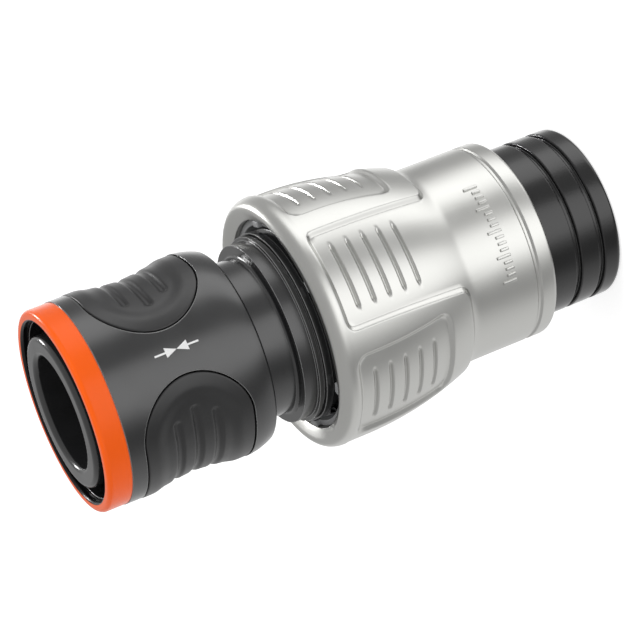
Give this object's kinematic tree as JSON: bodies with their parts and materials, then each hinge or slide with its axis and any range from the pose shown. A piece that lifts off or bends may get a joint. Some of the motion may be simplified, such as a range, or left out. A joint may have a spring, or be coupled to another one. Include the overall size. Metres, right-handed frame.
{
  "type": "hose quick coupling with stop valve",
  "caption": "Garden hose quick coupling: a dark sleeve with an orange ring releases the plug, an inner valve stops the water, and a metal nut clamps the hose.",
  "frame": {"origin": "centre of the rear end face of the hose guard, which the coupling stands on", "axes": "+Z along the hose axis towards the mouth; +X and -X through the middles of the two grip pads"},
  "size_m": [0.0434, 0.0434, 0.096],
  "materials": {
    "satin_metal": "satin",
    "dark_plastic": "fine satin grain",
    "orange_plastic": "smooth",
    "grip_rubber": "soft matte",
    "guard_rubber": "soft matte",
    "seal_rubber": "smooth",
    "light_plastic": "satin",
    "spring_steel": "drawn wire",
    "valve_plastic": "satin"
  },
  "bodies": {
    "nut": {"clamp_nut": "satin_metal", "thread_liner": "light_plastic", "hose_guard": "guard_rubber"},
    "collet": {"clamp_collet": "dark_plastic"},
    "body": {"coupling_body": "dark_plastic", "hose_tail": "dark_plastic", "tail_seal": "seal_rubber", "tail_circlip": "spring_steel", "valve_guide": "valve_plastic", "valve_spring": "spring_steel", "sleeve_spring": "spring_steel", "stop_ring": "spring_steel", "claw_pin_1": "spring_steel", "claw_pin_2": "spring_steel", "claw_pin_3": "spring_steel", "claw_pin_4": "spring_steel"},
    "sleeve": {"release_sleeve": "dark_plastic", "front_ring": "orange_plastic", "grip_pad_left": "grip_rubber", "grip_pad_right": "grip_rubber"},
    "valve": {"valve_piston": "valve_plastic", "piston_seal": "seal_rubber"},
    "claw_1": {"locking_claw_1": "valve_plastic"},
    "claw_2": {"locking_claw_2": "valve_plastic"},
    "claw_3": {"locking_claw_3": "valve_plastic"},
    "claw_4": {"locking_claw_4": "valve_plastic"}
  },
  "joints": [
    {"name": "nut_turn", "type": "hinge", "parent": "nut", "child": "collet", "pos_m": [0, 0, 0.035], "axis": [0, 0, 1], "range_deg": [0, 1080.1]},
    {"name": "thread_travel", "type": "slide", "parent": "collet", "child": "body", "axis": [0, 0, 1], "range_m": [0, 0.009]},
    {"name": "sleeve_slide", "type": "slide", "parent": "body", "child": "sleeve", "axis": [0, 0, -1], "range_m": [0, 0.004], "stiffness_N_per_m": 1500, "springref_m": -0.003, "deforming": ["sleeve_spring"]},
    {"name": "valve_slide", "type": "slide", "parent": "body", "child": "valve", "axis": [0, 0, -1], "range_m": [0, 0.0035], "stiffness_N_per_m": 800, "springref_m": -0.003, "deforming": ["valve_spring"]},
    {"name": "claw_1_swing", "type": "hinge", "parent": "body", "child": "claw_1", "pos_m": [0.00774, 0.00774, 0.0809], "axis": [-0.7071, 0.7071, 0], "range_deg": [0, 8.1]},
    {"name": "claw_2_swing", "type": "hinge", "parent": "body", "child": "claw_2", "pos_m": [-0.00774, 0.00774, 0.0809], "axis": [-0.7071, -0.7071, 0], "range_deg": [0, 8.1]},
    {"name": "claw_3_swing", "type": "hinge", "parent": "body", "child": "claw_3", "pos_m": [-0.00774, -0.00774, 0.0809], "axis": [0.7071, -0.7071, 0], "range_deg": [0, 8.1]},
    {"name": "claw_4_swing", "type": "hinge", "parent": "body", "child": "claw_4", "pos_m": [0.00774, -0.00774, 0.0809], "axis": [0.7071, 0.7071, 0], "range_deg": [0, 8.1]}
  ],
  "couplings": [
    {"joint": "nut_turn", "follows": "thread_travel", "rad_per_m": 2094.4},
    {"joint": "claw_1_swing", "follows": "sleeve_slide", "rad_per_m": 34.9},
    {"joint": "claw_2_swing", "follows": "sleeve_slide", "rad_per_m": 34.9},
    {"joint": "claw_3_swing", "follows": "sleeve_slide", "rad_per_m": 34.9},
    {"joint": "claw_4_swing", "follows": "sleeve_slide", "rad_per_m": 34.9}
  ]
}
